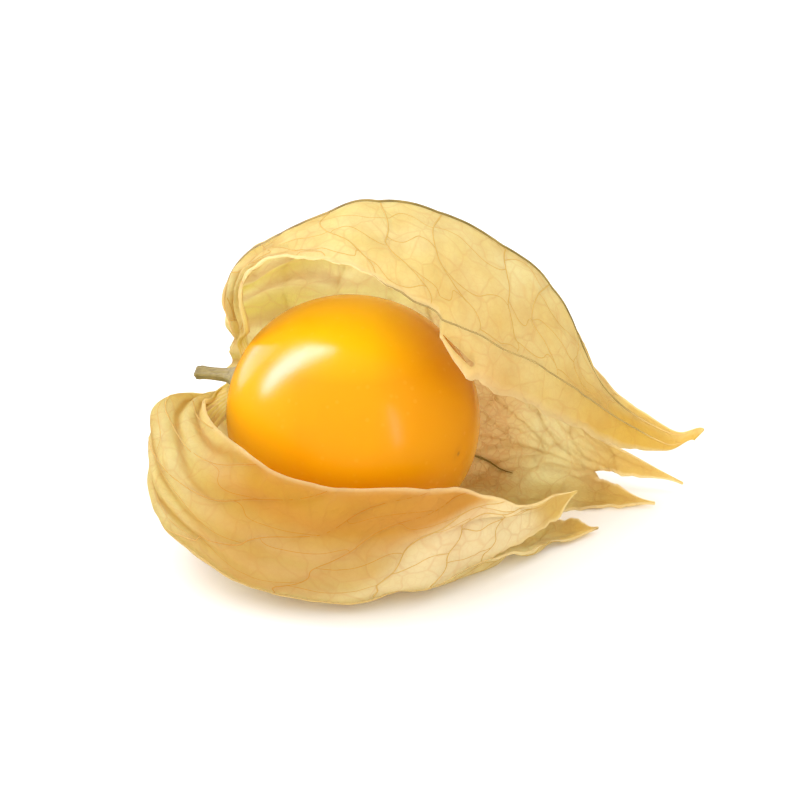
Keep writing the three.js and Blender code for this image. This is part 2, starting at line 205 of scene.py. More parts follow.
# ---------------------------------------------------------------------------------------------
# Stalk: the cut pedicel, a dry ribbed stem about a millimetre thick. It widens into the receptacle
# that carries berry and husk, bends over, and ends in a darker cut that has dried a little wider.
STALK_END_DIR = unit(np.array([-0.93, 0.348, -0.088]))
STALK_PROFILE = np.array([
    [10.6, 0.85], [10.75, 1.08], [11.1, 1.14], [11.5, 1], [11.95, 0.74], [12.5, 0.58],
    [13.2, 0.53], [14, 0.51], [14.6, 0.53], [14.9, 0.58], [15.1, 0.57]])
BEND_START = 11.2
BEND_LENGTH = 1.6


def stalk_rings():
    """Circles with five ridges and fine fibres, carried along a path that leaves the berry on its
    axis and turns to the end direction as a parabola; the radius is read off the profile. The last
    two circles close the cut, which is a little hollow."""
    d = np.concatenate([np.linspace(10.6, 15.1, 64), [15.1, 15.08]])[:, None]
    radius = np.interp(d, *STALK_PROFILE.T)
    radius[-2:] = [[0.4], [0.2]]
    side = np.linspace(0, 2 * np.pi, 45, endpoint=False)[None]
    past = np.maximum(0, d - BEND_START)
    bent = np.where(past < BEND_LENGTH, past ** 2 / (2 * BEND_LENGTH), past - BEND_LENGTH / 2)
    bent = bent[..., None]
    ridges = np.where(d > 12, 0.09, 0.04) * np.cos(5 * side) + 0.03 * np.cos(15 * side + d)
    reach = (radius * (1 + ridges))[..., None]
    centre = BERRY_CENTRE + STALK_DIR * (d[..., None] - bent) + STALK_END_DIR * bent
    return centre + reach * round_stalk(side)


# Dry green wood: olive with pale and dark fibres 0.2 mm wide and eight times as long, matt, dark
# where it was cut.
stalk_bark, tree = new_material("dry_stalk_bark")
place = add_node(tree, "ShaderNodeTexCoord").outputs["Object"]
stretch = add_node(tree, "ShaderNodeMapping", {"Vector": place, "Scale": (0.12, 1, 1)})
fibres = add_node(tree, "ShaderNodeTexNoise", {
    "Vector": stretch.outputs["Vector"], "Scale": 5200, "Detail": 3})
bark = add_node(tree, "ShaderNodeMix", {
    0: fibres.outputs["Fac"], 6: hex_colour("665A28"), 7: hex_colour("B2A25C")}, data_type="RGBA")
cut = add_node(tree, "ShaderNodeAttribute", attribute_name="cut")
bark = add_node(tree, "ShaderNodeMix", {
    0: cut.outputs["Fac"], 6: bark.outputs[2], 7: hex_colour("4B3D20")}, data_type="RGBA")
fibre_bump = add_node(tree, "ShaderNodeBump", {
    "Height": fibres.outputs["Fac"], "Strength": 0.5, "Distance": 0.0001})
shader = add_node(tree, "ShaderNodeBsdfPrincipled", {
    "Base Color": bark.outputs[2], "Roughness": 0.75, "IOR": 1.45,
    "Normal": fibre_bump.outputs["Normal"]})
add_node(tree, "ShaderNodeOutputMaterial", {"Surface": shader.outputs["BSDF"]})

rings = stalk_rings()
start, end = rings[0].mean(0), rings[-1].mean(0)
points, faces = turned(rings, start, end)
stalk = make_piece("cut_stalk", points, faces, [stalk_bark])
from_cut = np.linalg.norm(points - end, axis=1)
mark(stalk, "cut", np.clip(1.3 - from_cut / 0.55, 0, 1) * 0.85)
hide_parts("stem")

# ---------------------------------------------------------------------------------------------
# Husk: the calyx that grew round the berry, five sepals fused at their seams into a papery bag,
# now dry, torn open along one side and parted into petals. It hangs from the receptacle.
#
# Two numbers name a point of the sheet. Its distance along, s, runs from 0 at the stalk to 51 at
# the tips. Its place round, t, is even on a seam and odd on a midrib, and runs from 0 at the top
# petal's torn edge, over the top, behind and under the berry, to 10 at the front petal's.
STATIONS = np.array([0, 3, 6, 8.5, 11, 15, 20.5, 27.5, 35, 43, 51])
RING_ANGLES = np.radians([78, 112, 148, 184, 220, 256, 285, 310, 332, 352, 372])
HUSK_RING_RADIUS = 1.85
HUSK_RING_DISTANCE = 10.95
# Clearance of the sheet's middle from the berry and from the surface that the fruit lies on.
BERRY_CLEARANCE = 0.66
CLEARANCE_SOFTNESS = 0.3
FLOOR_CLEARANCE = 0.3
# How far a row has leaned towards the tip when it reaches each seam, and how far a half sepal bows
# out at each station, as a share of its width.
VEIN_SLANTS = np.array([3.4, 2.4, 3.8, 2.6, 3.4, 2.8])
BOW = np.array([0, -0.12, -0.1, -0.04, 0.02, 0.07, 0.09, 0.09, 0.08, 0.05, 0])

# Even lines are seams between sepals, odd lines are midribs; one point a station after the ring.
LINES = [
    [[-8.2, 0.9, 17.4], [-8.3, -0.3, 21.8], [-7.8, -1.5, 24.4], [-6.4, -2.4, 25.6],
     [-3.9, -4, 26.5], [0, -5.3, 26], [6.6, -6, 22.6], [12.5, -2.9, 18.1], [19.5, 2.2, 11],
     [27.7, 5.5, 5.1]],
    [[-9.5, 3.8, 17], [-10.2, 2, 20.2], [-9.6, 1.6, 22.5], [-8.2, 1.5, 24.3], [-5, 1.5, 26.2],
     [0.5, 2.3, 28.3], [8, 3.5, 26.4], [15.6, 5, 20], [20.3, 6.2, 10.2], [28.5, 6, 5.6]],
    [[-9.4, 6.6, 16], [-10.3, 7.4, 18.2], [-9.6, 8, 19.9], [-7.8, 8.8, 21.3], [-4, 10, 22.7],
     [1, 10.7, 23.2], [7.5, 10.8, 21.2]],
    [[-9.2, 9, 13.8], [-10.3, 10.6, 14.6], [-9.8, 12, 15.2], [-7.9, 13, 15.6], [-4, 13.5, 15.8],
     [1, 13.9, 15.5], [7.5, 13.7, 13.8], [14, 12.4, 9.2], [20.5, 9.4, 3.3], [27.2, 7.5, 1.1]],
    [[-9.2, 9.2, 10.3], [-10.5, 10.4, 9.2], [-10.2, 11.6, 7.7], [-8.7, 12.1, 6.2],
     [-5, 12.3, 5], [1, 12.3, 4.3], [7.5, 12, 3.6], [14, 11, 2.7], [19.8, 8.7, 1.5]],
    [[-10.1, 7.6, 8.5], [-11.8, 7.9, 6.2], [-11.9, 7.8, 4.2], [-10.6, 7.6, 2.7], [-6, 7.5, 1.5],
     [0, 7.4, 1.1], [7, 7.4, 0.9], [13.5, 7.2, 0.7], [19.5, 6.5, 0.7], [24.7, 5.1, 0.7]],
    [[-11, 5.3, 8], [-12.9, 4, 5.8], [-13.4, 2.9, 3.8], [-12.3, 2, 2.2], [-7.5, 1.2, 0.9],
     [0, 1.2, 0.5], [7, 1.8, 0.5], [13.5, 2.8, 0.7]],
    [[-11.9, 2.9, 8.8], [-14.2, 0.4, 7.2], [-14.9, -1.5, 5.2], [-13.8, -3.1, 3.3],
     [-8.5, -4.8, 1.6], [-1, -5.7, 1.1], [6.5, -4.8, 1], [12.5, -2.8, 0.9], [17, -0.8, 0.9],
     [19.8, 0.5, 0.9]],
    [[-12.3, 1.4, 10.6], [-14.9, -1.9, 10.3], [-15.9, -4.6, 8.5], [-14.9, -7.3, 6],
     [-10, -10.8, 3.1], [-2, -12.3, 1.6], [5, -11, 1.7], [10.5, -7.3, 2.4]],
    [[-12, 0.5, 12.5], [-14.2, -2.2, 13.7], [-15.7, -4.5, 13.4], [-15.2, -7.7, 11.2],
     [-11, -11.3, 8], [-3.5, -13.1, 5.6], [4, -12.3, 6.4], [9.5, -9, 6.7], [14.2, -4.9, 5.2],
     [17.8, -1.2, 4.9]],
    [[-10.7, -0.2, 12.9], [-11.3, -2.8, 13.7], [-10.9, -5.6, 13.9], [-9.6, -8.1, 13.7],
     [-7.3, -10.4, 13.1], [-2.5, -11.6, 11.5], [5.3, -11.2, 11], [10.6, -9, 9.3],
     [13.7, -6, 6.5], [17.6, -0.6, 5.8]],
]
# Past the last shared station each petal has an edge of its own: end of one, start of the next.
PARTED = {
    2: [[[14, 9.6, 17.6], [20.2, 7.9, 10.6], [28.1, 7, 6]],
        [[13.5, 12, 14.4], [18.6, 8.8, 5.6], [26.5, 8.2, 1.7]]],
    4: [[[26.4, 6.8, 0.9]], [[24.5, 5.9, 0.7]]],
    6: [[[19, 4.4, 0.6], [24.5, 4.2, 0.6]], [[17.8, 2.5, 0.7], [19.7, 1.4, 0.8]]],
    8: [[[15.5, -2.6, 1], [19.3, -0.4, 0.8]], [[14.9, -4.3, 2.9], [17.9, -1.9, 4]]],
}
# The ragged strip that still hangs below the first seam: station, then offset from the seam.
STRIP = np.array([
    [27.5, 0, -0.8, -1.5], [30, 0, -1.9, -3.4], [35, -1.6, -2.1, -2.6],
    [43, -1.2, -1.7, -1.9], [51, 0.1, -0.3, -0.8]])

# Rows between which a narrow slit opens in the strip, where the tear began.
SLIT = (24.2, 27.6)


def ease(x, low, high):
    """0 below low, 1 above high, and 3x^2 - 2x^3 between."""
    u = np.clip((x - low) / (high - low), 0, 1)
    return u * u * (3 - 2 * u)


def smooth_line(line, s):
    """Cubic curve through a line's points, one a station: each slope is the mean of the slopes
    on its two sides, weighted by the length of the other side."""
    h = np.diff(STATIONS)[:, None]
    slope = np.diff(line, axis=0) / h
    tangent = (slope[1:] * h[:-1] + slope[:-1] * h[1:]) / (h[1:] + h[:-1])
    tangent = np.vstack([slope[:1], tangent, slope[-1:]])
    i = np.clip(np.searchsorted(STATIONS, s, side="right") - 1, 0, len(h) - 1)
    u = ((s - STATIONS[i]) / h[i, 0])[..., None]
    step = h[i]
    return ((2 * u ** 3 - 3 * u ** 2 + 1) * line[i] + (u ** 3 - 2 * u ** 2 + u) * step * tangent[i]
            + (3 * u ** 2 - 2 * u ** 3) * line[i + 1] + (u ** 3 - u ** 2) * step * tangent[i + 1])


def line_at(j, side, s):
    """A rib's or seam's point at distance s. Past its last shared station a parted seam adds an
    offset that grows in straight steps to the petal's own edge."""
    ring = BERRY_CENTRE + STALK_DIR * HUSK_RING_DISTANCE
    ring = ring + HUSK_RING_RADIUS * round_stalk(RING_ANGLES[j])
    line = np.vstack([ring[None], np.array(LINES[j])])
    if j not in PARTED:
        return smooth_line(line, s)
    own = np.array(PARTED[j])
    shared = len(line)
    line = np.vstack([line, own.mean(0)])
    offset = np.vstack([np.zeros((1, 3)), own[side] - line[shared:]])
    shift = [np.interp(s, STATIONS[shared - 1:], offset[:, axis]) for axis in range(3)]
    return smooth_line(line, s) + np.stack(shift, -1)


def strip_edge(s):
    """The strip's torn edge: the first seam plus an offset read off the strip's table."""
    shift = [np.interp(s, STRIP[:, 0], STRIP[:, axis]) for axis in (1, 2, 3)]
    return line_at(0, 0, s) + np.stack(shift, -1)


def from_midrib(t):
    """Half sepals between place t and its sepal's midrib, which is at an odd place."""
    return np.abs(t - 2 * np.floor(t / 2) - 1)


def slanted(s, t):
    """Distance along the husk of a row at place t: it leans towards the tip with the 1.4th power
    of the distance from the midrib, and wavers in a low sine."""
    window = ease(s, 0, 12) * (1 - ease(s, 34, 51))
    slant = VEIN_SLANTS[np.clip(np.round(t / 2).astype(int), 0, 5)]
    return s + window * (slant * from_midrib(t) ** 1.4 + 0.3 * np.sin(5.1 * t + 0.8 * s))


def ragged(s, phase, depth):
    """Millimetres that a torn edge has lost: two sines, and a finer pair for small teeth."""
    wave = np.sin(1.25 * s + phase) + 0.7 * np.sin(2.9 * s + 2 * phase)
    teeth = np.abs(np.sin(4.7 * s + 3 * phase)) * np.abs(np.sin(1.9 * s - phase))
    return 0.3 + depth * (0.11 * wave + 0.07 * teeth)


def crease(s, t):
    """Low folds of the dry sheet: a product of two slow sines and one finer sine, which the stiff
    midribs hold down."""
    grow = ease(s, 3, 12) * (1 - ease(s, 38, 49))
    broad = np.sin(0.52 * s + 1.7 * t) * np.sin(2.3 * t + 0.19 * s + 0.6)
    taut = 0.3 + 0.7 * ease(from_midrib(t), 0, 0.35)
    return grow * taut * (0.3 * broad + 0.13 * np.sin(1.05 * s - 2.9 * t + 1))


def berry_gap(p):
    """Distance of points from the berry's ellipsoid, along the line from its centre."""
    r = np.linalg.norm(p - BERRY_CENTRE, axis=-1)
    end_on = ((p - BERRY_CENTRE) @ STALK_DIR / r) ** 2
    return r - 1 / np.sqrt(end_on / (BERRY_LENGTH / 2) ** 2 + (1 - end_on) / (BERRY_WIDTH / 2) ** 2)


def keep_clear(p):
    """Pushes points out along the berry's radius by a soft maximum of their distance and the
    clearance, and lifts them off the floor."""
    short = BERRY_CLEARANCE - berry_gap(p)[..., None]
    out = p + unit(p - BERRY_CENTRE) * (short + np.sqrt(short ** 2 + CLEARANCE_SOFTNESS ** 2)) / 2
    out[..., 2] = np.maximum(out[..., 2], FLOOR_CLEARANCE)
    return out


def husk_axis(p):
    """The point abreast of p on a straight line inside the husk, which runs from 5 mm on the
    stalk's side of the berry's centre to 9 mm past it."""
    return np.stack([np.clip(p[..., 0], -5, 9), 1.5 + 0 * p[..., 0], 11 + 0 * p[..., 0]], -1)


def half_panel(half):
    """The two lines that bound a half sepal, as functions of s; the number of the seam that is one
    of them, or none for the strip; and whether the edge that can open is the first line."""
    if half < 0:
        return strip_edge, lambda s: line_at(0, 0, s), None, True
    if half % 2 == 0:
        return lambda s: line_at(half, 1, s), lambda s: line_at(half + 1, 0, s), half, True
    return lambda s: line_at(half, 0, s), lambda s: line_at(half + 1, 0, s), half + 1, False


# Distance, in millimetres, that stands for no free edge near by.
NO_EDGE = 9.0


def sheet_at(half, u, s):
    """The middle of the husk's sheet, its free edge's distance, and the panel's width: a straight
    step between the panel's two lines, bowed out by a parabola, creased, and kept clear. Where the
    panel ends at a torn or parted edge, all of it is drawn in by what the edge has lost, and the
    petal narrows to its tip."""
    a, b, seam, seam_is_a = half_panel(half)
    t = np.zeros_like(u) if half < 0 else half + u
    away = slanted(s, t)
    start, chord = a(away), b(away) - a(away)
    width = np.linalg.norm(chord, axis=-1)
    at_seam = slanted(s, np.full_like(t, seam or 0))
    if half < 0 or seam == 10:
        opened = np.ones_like(s)
    elif seam == 0:
        opened = (at_seam < STRIP[0, 0]).astype(float)
    else:
        opened = ease(at_seam, STATIONS[len(LINES[seam])], STATIONS[len(LINES[seam])] + 1)
    phase = (5 if seam is None else seam) + (0 if seam_is_a else 1)
    depth = 0.15 if seam == 10 else 1
    most_lost, lost_at_tip = 0.3, 0.9
    lost = opened * np.minimum(most_lost, ragged(away, phase, depth) / width)
    lost = np.maximum(lost, lost_at_tip * ease(away, 45, 51) * (opened > 0))
    share = u * (1 - lost) + (lost if seam_is_a else 0)
    step = np.where(away > 50, -0.1, 0.1)
    ahead = (a(away + step) + b(away + step) - 2 * start - chord) / step[..., None]
    normal = unit(np.cross(ahead, chord))
    bow = 4 * share * (1 - share) * np.interp(away, STATIONS, BOW) * width
    p = start + chord * share[..., None] + normal * bow[..., None]
    p = keep_clear(p + unit(p - husk_axis(p)) * crease(away, t)[..., None])
    from_edge = np.where(opened > 0.5, (u if seam_is_a else 1 - u) * width, NO_EDGE)
    return p, from_edge, width


def waves(p, size, count, seed):
    """Sum of plane sine waves in random directions, each about size millimetres long, from -1
    to 1 and mostly between -0.6 and 0.6."""
    rng = np.random.default_rng(seed)
    direction = unit(rng.normal(size=(count, 3))) * 2 * np.pi
    direction = direction / (size * rng.uniform(0.7, 1.4, (count, 1)))
    phase = rng.uniform(0, 2 * np.pi, count)
    return np.sin(p @ direction.T + phase).sum(-1) / np.sqrt(count) / 1.4


# Grid of the sheet: rows along it, 18 columns to each half sepal, 4 to the strip. Vertices are
# shared across midribs and seams, and a parted seam's two edges share theirs until it opens.
HALF_COLUMNS = 18
STRIP_SHARES = np.array([0, 0.3, 0.36, 0.7])
rows = np.concatenate([np.linspace(0, 6, 22)[:-1], np.linspace(6, 47, 196)[:-1],
                       np.linspace(47, 51, 28)])
strip_start = np.argmax(slanted(rows, 0 * rows) >= STRIP[0, 0])
panels = [(-1, STRIP_SHARES, rows >= rows[strip_start])]
for half in range(10):
    shares = np.linspace(0, 1, HALF_COLUMNS + 1)
    panels.append((half, shares if half % 2 else shares[:-1], rows >= 0))

# The slit is a gap between the strip's second and third columns, which draw apart along it. Each
# vertex keeps its distance along, place round, distance from a free edge, width of its half
# sepal, row and panel.
column_points, column_index, column_facts, opens = [], [], [], []
total = 0
for half, shares, used in panels:
    u, s = np.meshgrid(shares, rows)
    if half < 0:
        gape = np.sin(np.pi * np.clip((rows - SLIT[0]) / (SLIT[1] - SLIT[0]), 0, 1))
        u[:, 1] -= 0.04 * gape
        u[:, 2] += 0.05 * gape
    p, from_edge, width = sheet_at(half, u, s)
    seam = half if half > 0 and half % 2 == 0 else None
    for c in range(len(shares)):
        own = used.copy()
        index = np.full(len(rows), -1)
        if seam is not None and c == 0:
            together = slanted(rows, np.full_like(rows, seam)) <= STATIONS[len(LINES[seam])]
            index[together] = column_index[-1][together]
            own &= ~together
        index[own] = total + np.arange(own.sum())
        total += own.sum()
        column_points.append(p[own, c])
        t = 0.0 if half < 0 else half + shares[c]
        facts = np.stack([slanted(rows, np.full_like(rows, t)), np.full_like(rows, t),
                          from_edge[:, c], width[:, c], rows, np.full_like(rows, half)], -1)
        column_facts.append(facts[own])
        column_index.append(index)
        opens.append(seam is not None and c == 0)
middle = np.vstack(column_points)
along, around, from_edge, width, row_at, panel_at = np.vstack(column_facts).T
grid = np.array(column_index)

left, right = grid[:-1], grid[1:]
quads = np.stack([left[:, :-1], left[:, 1:], right[:, 1:], right[:, :-1]], -1)
kept = (quads >= 0).all(-1) & ~np.array(opens)[1:, None]
kept[1] &= (rows[:-1] < SLIT[0]) | (rows[1:] > SLIT[1])
quads = quads[kept]


def past_front_shade(t, s):
    """Distance along the front petal from the slanted line that its painted brown shade ends at."""
    return s - 8.6 * (t - 8.5) - 23


def front_painted_shade(t, s):
    """Share of the front petal's painted brown shade: it lies on the petal's inner end, behind a
    slanted line, and is strongest along the free edge."""
    share = (0.5 + 0.36 * ease(t, 9.1, 9.6)) * (1 - ease(past_front_shade(t, s), -3, 3))
    return share * ease(t, 7.9, 8.2) * ease(s, 11, 17)


def sheet_normals(p, passes):
    """Mean of the quads' normals at each vertex, evened out with its neighbours' in passes."""
    a, b, c, d = (p[quads[:, k]] for k in range(4))
    flat = np.cross(c - a, d - b)
    normals = np.zeros_like(p)
    for k in range(4):
        np.add.at(normals, quads[:, k], flat)
    for _ in range(passes):
        normals = unit(normals)
        mean = sum(normals[quads[:, k]] for k in range(4))
        normals = 0 * normals
        for k in range(4):
            np.add.at(normals, quads[:, k], mean)
    return unit(normals)


# Relief of the dry sheet. Side veins leave the midribs at rows about 4.3 mm apart. The front
# petal's are 5.6 mm apart and rise 8.2 mm to each half sepal; its first starts 8 mm short of it.
VEIN_ROWS = np.array([4.9 + 4.3 * v + 0.5 * np.sin(2.3 * v) for v in range(10)])
FRONT_FIRST = 8
FRONT_LEAN = 8.2
FRONT_STEP = 5.6
PLEAT_HEIGHT = 0.56
CUSHION_HEIGHT = 0.16
FOLD_DEPTH = 0.9
OUTWARD = 0.12

# Pleats gather it at the stalk: a triangle wave round the husk that wanders, and runs on longer
# in the back.
wander = 0.35 * np.sin(0.6 * along + 4 * around) + 0.2 * np.sin(1.7 * around)
pleats = np.abs((around * 4.6 + wander) % 2 - 1) - 0.5
inner_back = ease(around, 1.2, 1.8) * (1 - ease(around, 4.2, 5))
pleats = PLEAT_HEIGHT * pleats * ease(along, 0.6, 3.5)
pleats = pleats * (1 - ease(along, 8 + 5 * inner_back, 19 + 6 * inner_back))
# It cushions between side veins as half sines, twice as high in the front petal.
between = np.interp(row_at, VEIN_ROWS, np.arange(10.0))
front_row = (row_at - FRONT_LEAN * (around - 8) + FRONT_FIRST) / FRONT_STEP
between = np.where(around > 8, front_row, between)
cushion = CUSHION_HEIGHT * (1 + ease(around, 8.2, 9)) * np.sin(np.pi * (between % 1))
cushion *= ease(along, 8, 16) * (1 - ease(along, 40, 49)) * ease(width, 2, 6)
# Drying crumpled it in waves of 7.5, 3.2 and 1.3 mm, the longer two with sharp creases, which
# the midribs hold down.
crumple = np.abs(waves(middle, 7.5, 14, 3)) - 0.4
crumple = 0.2 * crumple + 0.08 * (np.abs(waves(middle, 3.2, 14, 4)) - 0.4)
crumple += 0.03 * waves(middle, 1.3, 16, 5)
crumple *= ease(along, 5, 12) * ease(width, 1, 4) * (1 - 0.7 * ease(along, 45, 51))
crumple *= 0.3 + 0.7 * ease(from_midrib(around), 0.02, 0.3)
# The top petal is folded along its midrib, so the sheet behind it starts off inwards, and its
# tip dips and then curls up.
fold = ease(around, 1, 1.2) * (1 - ease(around, 1.35, 1.9))
fold = FOLD_DEPTH * fold * ease(along, 4, 10) * (1 - ease(along, 30, 40))
curl = (1.7 * ease(along, 48, 51) ** 2 - 0.7 * ease(along, 41, 48)) * (panel_at <= 1)

normals = sheet_normals(middle, 5)
middle = middle + normals * (OUTWARD + pleats + cushion + crumple - fold)[:, None]
middle[:, 2] += curl
# Where it nearly touches the floor it settles on to it.
middle[:, 2] = np.maximum(middle[:, 2] - 0.2 * (1 - ease(middle[:, 2], 0.4, 1.6)), 0.09)
normals = sheet_normals(middle, 1)

# The sheet is 0.14 mm thick, and rolled a little thicker along its torn edges. Its two faces are
# joined by a wall wherever a quad's edge belongs to no other quad.
HALF_THICKNESS = 0.07
EDGE_ROLL = 0.045
half_thickness = (HALF_THICKNESS + EDGE_ROLL * (1 - ease(from_edge, 0.05, 0.35)))[:, None]
count = len(middle)
points = np.vstack([middle + normals * half_thickness, middle - normals * half_thickness])
points[:, 2] = np.maximum(points[:, 2], 0.02)
edges = np.stack([quads, np.roll(quads, -1, axis=1)], -1).reshape(-1, 2)
codes = edges.min(1) * count + edges.max(1)
_, where, uses = np.unique(codes, return_index=True, return_counts=True)
open_edges = edges[where[uses == 1]]
i, j = open_edges.T
walls = np.stack([i, count + i, count + j, j], -1)
faces = np.vstack([quads, quads[:, ::-1] + count, walls]).tolist()

# Dry calyx tissue, as thin as paper: matt, and most of the light goes through it. Cream to tan
# with darker clouds, a net of veinlets, yellow-green near the stalk, paler at the torn edges.
calyx, tree = new_material("dry_calyx_tissue")
place = add_node(tree, "ShaderNodeTexCoord").outputs["Object"]
bend = add_node(tree, "ShaderNodeTexNoise", {"Vector": place, "Scale": 500, "Detail": 1})
bend = add_node(tree, "ShaderNodeVectorMath", {0: bend.outputs["Color"], 1: (0.0011,) * 3},
                operation="MULTIPLY")
bent = add_node(tree, "ShaderNodeVectorMath", {
    0: place, 1: bend.outputs["Vector"]}, operation="ADD").outputs["Vector"]
clouds = add_node(tree, "ShaderNodeTexNoise", {"Vector": place, "Scale": 260, "Detail": 4})
clouds = add_node(tree, "ShaderNodeMapRange", {
    "Value": clouds.outputs["Fac"], "From Min": 0.35, "From Max": 0.7})
tissue = add_node(tree, "ShaderNodeMix", {
    0: clouds.outputs["Result"], 6: hex_colour("F6F2C2"), 7: hex_colour("F2E7A8")},
    data_type="RGBA")
# Over the tissue's tone: a deeper tan that is partly painted shade on the tips, painted light on
# the front petal, painted shade and orange glow from the berry, the tissue's own green, and painted
# shade in the pleats' valleys.
for name, colour in (("shade", "E8C856"), ("painted_light", "FFF8D2"),
                     ("painted_shade_and_glow", "DCA20C"), ("green", "DCCE12"), ("valley_shade", "CA9C1E")):
    fact = add_node(tree, "ShaderNodeAttribute", attribute_name=name)
    tissue = add_node(tree, "ShaderNodeMix", {
        0: fact.outputs["Fac"], 6: tissue.outputs[2], 7: hex_colour(colour)}, data_type="RGBA")
# Brown mottling from 2 mm down to less than 0.1 mm, faint where the front petal has painted light.
mottle = add_node(tree, "ShaderNodeTexNoise", {
    "Vector": place, "Scale": 420, "Detail": 6, "Roughness": 0.68})
mottle = add_node(tree, "ShaderNodeMapRange", {
    "Value": mottle.outputs["Fac"], "From Min": 0.42, "From Max": 0.72})
fact = add_node(tree, "ShaderNodeAttribute", attribute_name="painted_light")
share = add_node(tree, "ShaderNodeMath", {0: fact.outputs["Fac"], 1: -0.24, 2: 0.3},
                 operation="MULTIPLY_ADD")
share = add_node(tree, "ShaderNodeMath", {
    0: share.outputs["Value"], 1: mottle.outputs["Result"]}, operation="MULTIPLY")
tissue = add_node(tree, "ShaderNodeMix", {
    0: share.outputs["Value"], 6: tissue.outputs[2], 7: hex_colour("D2A448")}, data_type="RGBA")
# Veinlets 2.4 mm apart, and a finer net of 0.7 mm between them, each line 0.1 mm wide. Both are
# darkest in the back petal's netted patch of painted orange light, where the finer one shows most.
fact = add_node(tree, "ShaderNodeAttribute", attribute_name="netted")
shares = []
for scale, line_width, more, least in ((420, 0.06, 0.25, 0.22), (1450, 0.12, 0.34, 0.09)):
    net = add_node(tree, "ShaderNodeTexVoronoi", {"Vector": bent, "Scale": scale},
                   feature="DISTANCE_TO_EDGE")
    net = add_node(tree, "ShaderNodeMapRange", {
        "Value": net.outputs["Distance"], "From Min": line_width, "From Max": 0.0},
        interpolation_type="SMOOTHSTEP")
    share = add_node(tree, "ShaderNodeMath", {
        0: fact.outputs["Fac"], 1: more, 2: least}, operation="MULTIPLY_ADD")
    share = add_node(tree, "ShaderNodeMath", {
        0: share.outputs["Value"], 1: net.outputs["Result"]}, operation="MULTIPLY")
    shares.append(share.outputs["Value"])
vein_share = add_node(tree, "ShaderNodeMath", {0: shares[0], 1: shares[1]}, operation="MAXIMUM")
tissue = add_node(tree, "ShaderNodeMix", {
    0: vein_share.outputs["Value"], 6: tissue.outputs[2], 7: hex_colour("D8A040")},
    data_type="RGBA")
# Dark spots of mildew about 0.4 mm wide, one in a few square centimetres.
spots = add_node(tree, "ShaderNodeTexVoronoi", {"Vector": bent, "Scale": 150})
spots = add_node(tree, "ShaderNodeMapRange", {
    "Value": spots.outputs["Distance"], "From Min": 0.05, "From Max": 0.025, "To Max": 0.8})
tissue = add_node(tree, "ShaderNodeMix", {
    0: spots.outputs["Result"], 6: tissue.outputs[2], 7: hex_colour("6B5A33")}, data_type="RGBA")
fact = add_node(tree, "ShaderNodeAttribute", attribute_name="rim")
tissue = add_node(tree, "ShaderNodeMix", {
    0: fact.outputs["Fac"], 6: tissue.outputs[2], 7: hex_colour("FFF0BC")}, data_type="RGBA")
# The veinlets stand out of the face, on a grain of 0.4 mm.
grain = add_node(tree, "ShaderNodeTexNoise", {"Vector": place, "Scale": 2600, "Detail": 3})
relief = add_node(tree, "ShaderNodeMath", {
    0: vein_share.outputs["Value"], 1: 2.0, 2: grain.outputs["Fac"]}, operation="MULTIPLY_ADD")
bump = add_node(tree, "ShaderNodeBump", {
    "Height": relief.outputs["Value"], "Strength": 0.6, "Distance": 0.00008})
front = add_node(tree, "ShaderNodeBsdfPrincipled", {
    "Base Color": tissue.outputs[2], "Roughness": 0.62, "IOR": 1.4, "Specular IOR Level": 0.25,
    "Normal": bump.outputs["Normal"]})
lit = add_node(tree, "ShaderNodeMix", {
    0: 0.3, 6: tissue.outputs[2], 7: (1, 1, 1, 1)}, data_type="RGBA")
through = add_node(tree, "ShaderNodeBsdfTranslucent", {
    "Color": lit.outputs[2], "Normal": bump.outputs["Normal"]})
both = add_node(tree, "ShaderNodeMixShader", {
    0: 0.7, 1: front.outputs["BSDF"], 2: through.outputs["BSDF"]})
add_node(tree, "ShaderNodeOutputMaterial", {"Surface": both.outputs["Shader"]})

husk = make_piece("husk_sheet", points, faces, [calyx])
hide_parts("husk")

# Where the sheet has which colour. Green streaks run from the stalk, stronger inside than out.
green = (1 - 0.45 * ease(along, 13, 17)) * (1 - ease(along, 18, 32))
green = green * (0.64 + 0.36 * np.sin(14 * around + 0.15 * along))
mark(husk, "green", np.concatenate([0.3 * green, green]))
# Brown painted shade lies where the sheet is near the berry and on the front petal's inner end, and
# painted orange light from the berry lies in a netted patch of the back petal. Past its painted
# shade the front petal has painted light.
netted = ease(around, 2.8, 3.4) * (1 - ease(around, 4.7, 5.4))
netted = netted * ease(along, 24, 28) * (1 - ease(along, 32, 37))
painted_shade_and_glow = 0.45 * (1 - ease(berry_gap(middle), 2.6, 4.6)) * ease(along, 12, 18)
painted_shade_and_glow = np.clip(painted_shade_and_glow + front_painted_shade(around, along) + 0.5 * netted, 0, 0.85)
painted_light = 0.9 * ease(around, 7.9, 8.2) * ease(past_front_shade(around, along), -1, 4)
painted_light = painted_light * (1 - ease(along, 40, 46))
# A deeper tan lies round the stalk, in clouds and low on the top petal; on all tips it is partly
# the tips' own golden colour and partly painted shade.
shade = 0.2 * (1 - ease(along, 2, 9)) + 0.15 * ease(waves(middle, 12, 10, 8), 0.1, 0.7)
shade += 0.3 * (1 - ease(around, 0.2, 0.8)) * ease(along, 20, 30)
shade = np.clip(shade + 0.7 * ease(along, 37, 47), 0, 1)
